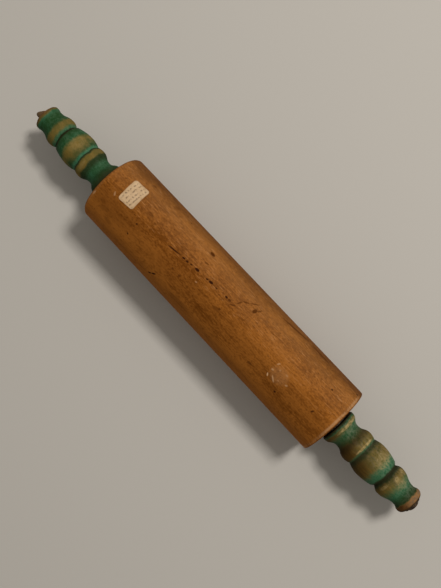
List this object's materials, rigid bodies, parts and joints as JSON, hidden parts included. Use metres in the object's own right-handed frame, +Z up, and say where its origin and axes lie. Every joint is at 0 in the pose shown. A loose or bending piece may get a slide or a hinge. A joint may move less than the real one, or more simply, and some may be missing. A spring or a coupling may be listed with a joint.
{
  "type": "rolling pin",
  "caption": "Wooden rolling pin: a maple barrel that turns on a steel rod between turned, green painted handles with worn paint, for rolling out dough and pastry.",
  "frame": {"origin": "on the table under the middle of the barrel", "axes": "+X along the pin from the left handle, at the label's end, to the right handle; +Z up; +Y completes the right-handed frame"},
  "size_m": [0.4296, 0.061, 0.0614],
  "materials": {
    "maple": "aged, oiled by use",
    "green_paint": "worn gloss paint over bare wood",
    "steel": "dull",
    "dark_iron": "brown patina",
    "old_paper": "matte, yellowed"
  },
  "bodies": {
    "barrel": {"barrel": "maple", "paper_label": "old_paper", "left_bush": "steel", "right_bush": "steel"},
    "axle": {"axle_rod": "dark_iron", "left_thrust_washer": "dark_iron", "right_thrust_washer": "dark_iron", "left_end_washer": "dark_iron", "right_end_washer": "dark_iron"},
    "left_handle": {"left_handle": "green_paint"},
    "right_handle": {"right_handle": "green_paint"}
  },
  "joints": [
    {"name": "axle_spin", "type": "hinge", "parent": "barrel", "child": "axle", "pos_m": [0, 0, 0.0305], "axis": [1, 0, 0], "continuous": true},
    {"name": "left_handle_spin", "type": "hinge", "parent": "axle", "child": "left_handle", "pos_m": [-0.1695, 0, 0.0305], "axis": [1, 0, 0], "continuous": true},
    {"name": "right_handle_spin", "type": "hinge", "parent": "axle", "child": "right_handle", "pos_m": [0.1695, 0, 0.0305], "axis": [1, 0, 0], "continuous": true}
  ]
}
